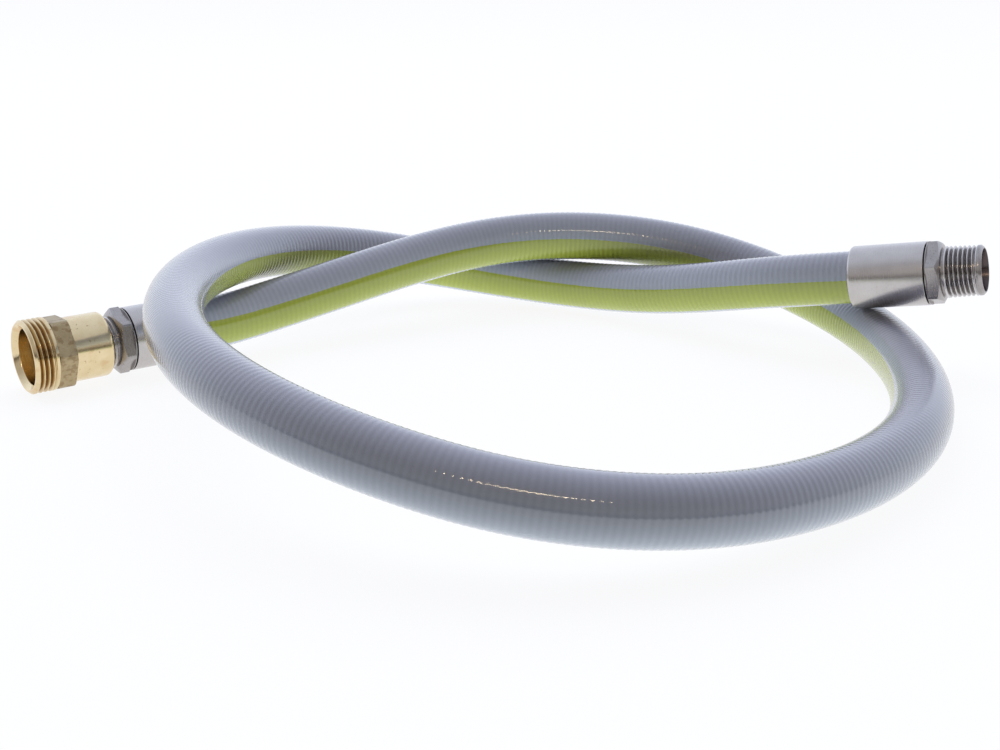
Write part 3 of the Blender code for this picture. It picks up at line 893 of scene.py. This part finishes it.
def sweep(name, frames, rings, sides, radius, twist, material):
    """A closed hollow body along the hose, from a grid rolled up round it.

    rings lists the ring numbers in order, out along the outer wall and back along the inner
    one. radius gives the radius from the positions in rings, the ring numbers and the unit
    vectors outwards, and twist gives the angle of the middle of the grid at each ring.
    """
    shape = bmesh.new()
    bmesh.ops.create_grid(shape, x_segments=sides, y_segments=len(rings), size=1.0)
    mesh = bpy.data.meshes.new(name)
    shape.to_mesh(mesh)
    shape.free()
    places = np.empty(len(mesh.vertices) * 3)
    mesh.vertices.foreach_get("co", places)
    places = places.reshape(-1, 3)
    around = (places[:, 0] + 1.0) / 2.0
    step = np.rint((places[:, 1] + 1.0) / 2.0 * len(rings)).astype(int)
    order = np.array([*rings, rings[0]])
    ring = order[step]
    angle = twist[ring] + (around - 0.5) * 2.0 * math.pi
    out = frames.at(ring, angle)
    size = radius(step % len(rings), ring, out)
    mesh.vertices.foreach_set("co", (frames.centres[ring] + out * size[:, None]).ravel())
    corner = np.empty(len(mesh.loops), dtype=np.int32)
    mesh.loops.foreach_get("vertex_index", corner)
    uv = mesh.uv_layers.new(name="round_and_along")
    uv.data.foreach_set("uv", np.stack([around[corner], frames.along[ring[corner]]], 1).ravel())
    welded = bmesh.new()
    welded.from_mesh(mesh)
    bmesh.ops.remove_doubles(welded, verts=welded.verts[:], dist=0.000002)
    bmesh.ops.recalc_face_normals(welded, faces=welded.faces[:])
    welded.to_mesh(mesh)
    welded.free()
    mesh.shade_smooth()
    mesh.set_sharp_from_angle(angle=math.radians(50.0))
    return finish_piece(name, mesh, material)


def finish_piece(name, mesh, material):
    mesh.materials.append(material)
    piece = bpy.data.objects.new(name, mesh)
    bpy.context.scene.collection.objects.link(piece)
    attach(piece, BODY)
    return piece


def stand_for(cad_node):
    """Hides the imported solid that a new piece stands in for."""
    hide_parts(cad_node)


def there_and_back(count, coarse):
    """Ring numbers out along every ring and back along a few."""
    back = np.linspace(count - 1, 0, coarse).astype(int)
    return [*range(count), *back]


def rib_count(line):
    return round(np.linalg.norm(np.diff(line, axis=0), axis=1).sum() / RIB_PITCH)


def make_jacket(line):
    ribs = rib_count(line)
    count = ribs * RINGS_PER_RIB + 1
    frames = HoseFrames(line, count)
    rings = there_and_back(count, INNER_RINGS)
    twist = stripe_middle(frames.along)
    bend = frames.bends * BENT_RADIUS

    def radius(position, ring, out):
        inward = np.einsum("ij,ij->i", out, bend[ring])
        hollow = np.clip(2.0 * inward - 1.0, 0.0, DEEPEST_HOLLOW)
        depth = RIB_DEPTH_STRAIGHT + (RIB_DEPTH_BENT - RIB_DEPTH_STRAIGHT) * hollow
        wave = 0.5 - 0.5 * np.cos(2.0 * math.pi * ring / RINGS_PER_RIB)
        outer = HOSE_RADIUS - depth * wave
        return np.where(position < count, outer, HOSE_RADIUS - JACKET_WALL)

    material = make_jacket_material(frames.length / ribs)
    return sweep("ribbed_jacket", frames, rings, JACKET_SIDES, radius, twist, material), frames


def make_steel_tube(line, material):
    count = rib_count(line) * RINGS_PER_CORRUGATION + 1
    frames = HoseFrames(line, count)
    rings = [*range(count), *range(count - 1, -1, -1)]

    def radius(position, ring, out):
        wave = 0.5 - 0.5 * np.cos(2.0 * math.pi * ring / RINGS_PER_CORRUGATION)
        outer = TUBE_CREST - TUBE_DEPTH * wave
        return np.where(position < count, outer, outer - TUBE_WALL)

    twist = np.zeros(count)
    return sweep("corrugated_steel_tube", frames, rings, TUBE_SIDES, radius, twist, material)


# Turned pieces


def filleted(points):
    """A profile of (radius, height, fillet) with small round corners, as (radius, height)."""
    result = []
    total = len(points)
    for index, (radius, height, fillet) in enumerate(points):
        if fillet == 0.0:
            result.append((radius, height))
            continue
        here = Vector((radius, height))
        before = Vector(points[index - 1][:2])
        after = Vector(points[(index + 1) % total][:2])
        start = here + (before - here).normalized() * min(fillet, (before - here).length * 0.45)
        end = here + (after - here).normalized() * min(fillet, (after - here).length * 0.45)
        for part in (0.0, 0.33, 0.67, 1.0):
            near = start.lerp(here, part)
            far = here.lerp(end, part)
            result.append(tuple(near.lerp(far, part)))
    return result


def arc(centre, size, start, end, steps):
    """Points (radius, height, no fillet) along part of an ellipse, angles in degrees."""
    points = []
    for step in range(steps + 1):
        angle = math.radians(start + (end - start) * step / steps)
        points.append(
            (centre[0] + size[0] * math.cos(angle), centre[1] + size[1] * math.sin(angle), 0.0)
        )
    return points


def thread_blank(top, bottom, pitch, crest):
    """Profile points down the crest of a thread, close enough to cut the thread into."""
    count = round((top - bottom) / pitch * THREAD_RINGS_PER_TURN)
    return [
        (crest(top + (bottom - top) * step / count), top + (bottom - top) * step / count, 0.0)
        for step in range(count + 1)
    ]


def cut_thread(places, top, bottom, pitch, depth, crest):
    """Moves the points between two heights into a right-hand thread with rounded crests."""
    radius = np.hypot(places[:, 0], places[:, 1])
    angle = np.arctan2(places[:, 1], places[:, 0])
    height = places[:, 2]
    on_crest = np.abs(radius - crest(height)) < 2 * HAIR
    inside = (height <= top + ROUNDING) & (height >= bottom - ROUNDING) & on_crest
    phase = (height / pitch - angle / (2.0 * math.pi)) % 1.0
    saw = np.abs(2.0 * phase - 1.0)
    groove = np.clip((saw - THREAD_CREST_SHARE) / (1.0 - 2.0 * THREAD_CREST_SHARE), 0.0, 1.0)
    run_out = np.clip((top - height) / (0.6 * pitch), 0.0, 1.0) * np.clip(
        (height - bottom) / (0.5 * pitch), 0.0, 1.0
    )
    smaller = radius - depth * groove * run_out
    share = np.where(inside, smaller / radius, 1.0)
    places[:, 0] *= share
    places[:, 1] *= share


def cut_hexagon(places, flat, turn, low, high, cone_start, cone_top, blunt):
    """Moves the points between two heights onto six flats with blunt corners, under a cone."""
    radius = np.hypot(places[:, 0], places[:, 1])
    angle = np.arctan2(places[:, 1], places[:, 0]) - turn
    sixth = math.pi / 3
    edge = flat / np.cos(np.mod(angle, sixth) - sixth / 2)
    corner = flat / math.cos(sixth / 2)
    edge = np.minimum(edge, corner - blunt)
    height = places[:, 2]
    cut = (height >= low) & (height <= high) & (radius > edge)
    slope = (high - cone_start) / (corner - cone_top)
    on_cone = cut & (height >= cone_start - ROUNDING)
    places[:, 2] = np.where(on_cone, cone_start + (corner - edge) * slope, height)
    share = np.where(cut, edge / radius, 1.0)
    places[:, 0] *= share
    places[:, 1] *= share


def end_matrix(seat, turn, rise):
    """Place of a fitting: its Z points out of the hose, its Y leans up."""
    turned = direction_of(turn, rise).to_track_quat("Z", "Y").to_matrix().to_4x4()
    return Matrix.Translation(seat) @ turned


def lathe(name, profile, start, shape, matrix, material, sharp=30.0):
    """Spins a closed profile round Z, shapes its points and puts it in its place."""
    work = bmesh.new()
    corners = [
        work.verts.new((radius * math.cos(start), radius * math.sin(start), height))
        for radius, height in profile
    ]
    edges = [
        work.edges.new((corner, corners[(index + 1) % len(corners)]))
        for index, corner in enumerate(corners)
    ]
    bmesh.ops.spin(
        work,
        geom=corners + edges,
        cent=(0.0, 0.0, 0.0),
        axis=(0.0, 0.0, 1.0),
        angle=2.0 * math.pi,
        steps=TURNED_STEPS,
        use_merge=True,
    )
    bmesh.ops.recalc_face_normals(work, faces=work.faces[:])
    mesh = bpy.data.meshes.new(name)
    work.to_mesh(mesh)
    work.free()
    places = np.empty(len(mesh.vertices) * 3)
    mesh.vertices.foreach_get("co", places)
    places = places.reshape(-1, 3)
    if shape is not None:
        shape(places)
        mesh.vertices.foreach_set("co", places.ravel())
    own = mesh.attributes.new("fitting", "FLOAT_VECTOR", "POINT")
    own.data.foreach_set("vector", places.astype(np.float32).ravel())
    mesh.transform(matrix)
    mesh.shade_smooth()
    mesh.set_sharp_from_angle(angle=math.radians(sharp))
    return finish_piece(name, mesh, material)


def pipe_radius(height):
    """Crest radius of the taper thread at this height."""
    gauge_height = NIPPLE_TIP - PIPE_GAUGE_LENGTH
    return (PIPE_GAUGE_DIAMETER + (gauge_height - height) * PIPE_TAPER) / 2


def adapter_radius(height):
    """Crest radius of the parallel thread, the same at every height."""
    return ADAPTER_THREAD_RADIUS


def make_ferrule(name, cad_node, matrix, material):
    lip = FERRULE_BORE + FERRULE_LIP
    nose_centre = (lip, FERRULE_END + FERRULE_NOSE)
    nose_size = (FERRULE_RADIUS - lip, FERRULE_NOSE)
    profile = [
        (FERRULE_BORE, FERRULE_FRONT, RING_EDGE),
        (FERRULE_RADIUS, FERRULE_FRONT, SOFT_EDGE),
        *arc(nose_centre, nose_size, 0.0, -90.0, 12),
        (FERRULE_BORE, FERRULE_END, 0.0),
    ]
    piece = lathe(name, filleted(profile), 0.0, None, matrix, material)
    stand_for(cad_node)


def make_seal_ring(name, cad_node, matrix, material):
    inner = SHANK_RADIUS + GAP
    profile = [
        (inner, -RING_GAP, RING_INNER_EDGE),
        (RING_RADIUS, -RING_GAP, RING_EDGE),
        (RING_RADIUS, -RING_GAP - RING_THICKNESS, RING_EDGE),
        (inner, -RING_GAP - RING_THICKNESS, RING_INNER_EDGE),
    ]
    piece = lathe(name, filleted(profile), 0.0, None, matrix, material)
    stand_for(cad_node)


def make_nipple(name, cad_node, hex_turn, matrix, material):
    corner = NIPPLE_FLAT / math.cos(math.pi / 6)
    land = NIPPLE_TIP - NIPPLE_LAND
    relief = NIPPLE_HEX_LENGTH + NIPPLE_RELIEF
    root = pipe_radius(relief) - PIPE_THREAD_DEPTH
    profile = [
        (NIPPLE_BORE, NIPPLE_TIP - NIPPLE_MOUTH_DEPTH, EDGE),
        (NIPPLE_MOUTH, NIPPLE_TIP, FINE_EDGE),
        (pipe_radius(NIPPLE_TIP) - NIPPLE_TIP_CHAMFER, NIPPLE_TIP, FINE_EDGE),
        (pipe_radius(NIPPLE_TIP), NIPPLE_TIP - NIPPLE_TIP_CHAMFER, EDGE),
        *thread_blank(land, relief, PIPE_PITCH, pipe_radius),
        (root, relief - EDGE, FINE_EDGE),
        (root, NIPPLE_HEX_LENGTH, FINE_EDGE),
        (NIPPLE_CONE_TOP, NIPPLE_HEX_LENGTH, SOFT_EDGE),
        (corner, NIPPLE_HEX_STRAIGHT, 0.0),
        (corner, NIPPLE_COLLAR, 0.0),
        (NIPPLE_COLLAR_RADIUS, NIPPLE_COLLAR - 2 * HAIR, 0.0),
        (NIPPLE_COLLAR_RADIUS, 0.0, FINE_EDGE),
        (SHANK_RADIUS, 0.0, 0.0),
        (SHANK_RADIUS, -SHANK_LENGTH, EDGE),
        (NIPPLE_BORE, -SHANK_LENGTH, EDGE),
    ]

    def shape(places):
        cut_thread(places, land, relief, PIPE_PITCH, PIPE_THREAD_DEPTH, pipe_radius)
        cut_hexagon(
            places,
            NIPPLE_FLAT,
            hex_turn,
            NIPPLE_COLLAR - HAIR,
            NIPPLE_HEX_LENGTH,
            NIPPLE_HEX_STRAIGHT,
            NIPPLE_CONE_TOP,
            NIPPLE_HEX_BLUNT,
        )

    piece = lathe(name, filleted(profile), hex_turn, shape, matrix, material, sharp=24.0)
    stand_for(cad_node)


def make_adapter(name, cad_node, hex_turn, matrix, material):
    corner = ADAPTER_FLAT / math.cos(math.pi / 6)
    chamfer = ADAPTER_FRONT - ADAPTER_TIP_CHAMFER
    collar = ADAPTER_FLANGE_END + ADAPTER_COLLAR
    rounding = (ADAPTER_BODY_ROUNDING, ADAPTER_BODY_ROUNDING)
    rounding_centre = (
        ADAPTER_BODY_RADIUS - ADAPTER_BODY_ROUNDING,
        ADAPTER_START + ADAPTER_BODY_ROUNDING,
    )
    flange_low = ADAPTER_FLANGE_START + ADAPTER_FLANGE_CHAMFER
    flange_high = ADAPTER_FLANGE_END - ADAPTER_FLANGE_CHAMFER
    profile = [
        (ADAPTER_FRONT_BORE, ADAPTER_FRONT - ADAPTER_SEAT_DEPTH, SOFT_EDGE),
        (ADAPTER_SEAT_RADIUS, ADAPTER_FRONT, EDGE),
        (ADAPTER_THREAD_RADIUS - ADAPTER_TIP_CHAMFER, ADAPTER_FRONT, EDGE),
        *thread_blank(chamfer, collar, ADAPTER_THREAD_PITCH, adapter_radius),
        (ADAPTER_THREAD_RADIUS, ADAPTER_FLANGE_END + FINE_EDGE, SOFT_EDGE),
        (ADAPTER_FLAT, ADAPTER_FLANGE_END, 0.0),
        (corner - SOFT_EDGE, ADAPTER_FLANGE_END - FINE_EDGE, FLANGE_EDGE),
        (corner, flange_high, FLANGE_EDGE),
        (corner, flange_low, FLANGE_EDGE),
        (corner - ADAPTER_FLANGE_CHAMFER, ADAPTER_FLANGE_START, FLANGE_EDGE),
        (ADAPTER_BODY_RADIUS, ADAPTER_FLANGE_START, SOFT_EDGE),
        *arc(rounding_centre, rounding, 0.0, -90.0, 12),
        (pipe_radius(ADAPTER_START) + GAP, ADAPTER_START, EDGE),
        (pipe_radius(ADAPTER_SOCKET_END) + GAP, ADAPTER_SOCKET_END, 0.0),
        (NIPPLE_BORE, ADAPTER_SOCKET_END, EDGE),
        (NIPPLE_BORE, ADAPTER_WEB_END, SOFT_EDGE),
        (ADAPTER_FRONT_BORE, ADAPTER_WEB_END, SOFT_EDGE),
    ]

    def shape(places):
        cut_thread(
            places, chamfer, collar, ADAPTER_THREAD_PITCH, ADAPTER_THREAD_DEPTH, adapter_radius
        )
        cut_hexagon(
            places,
            ADAPTER_FLAT,
            hex_turn,
            ADAPTER_FLANGE_START - GAP,
            ADAPTER_FLANGE_END - 5 * HAIR,
            ADAPTER_FLANGE_END,
            0.0,
            ADAPTER_HEX_BLUNT,
        )

    piece = lathe(name, filleted(profile), hex_turn, shape, matrix, material, sharp=24.0)
    stand_for(cad_node)


# The whole object


def make_hose():
    line = hose_line()
    jacket, frames = make_jacket(line)
    stand_for("hose_jacket")
    tube = make_steel_tube(line, make_tube_material())
    stand_for("corrugated_tube")


def make_fittings():
    ferrule_steel = make_ferrule_material()
    nipple_steel = make_nipple_material()
    seal_rubber = make_seal_material()
    left = end_matrix(LEFT_SEAT, LEFT_TURN, LEFT_RISE)
    right = end_matrix(RIGHT_SEAT, RIGHT_TURN, RIGHT_RISE)
    ends = (("left", left, LEFT_HEX_TURN), ("right", right, RIGHT_HEX_TURN))
    for side, matrix, hex_turn in ends:
        make_ferrule(side + "_drawn_ferrule", side + "_ferrule", matrix, ferrule_steel)
        make_seal_ring(side + "_black_ring", side + "_seal_ring", matrix, seal_rubber)
        make_nipple(side + "_threaded_nipple", side + "_nipple", hex_turn, matrix, nipple_steel)
    make_adapter("turned_adapter", "brass_adapter", ADAPTER_HEX_TURN, left, make_brass_material())


make_studio()
make_hose()
make_fittings()
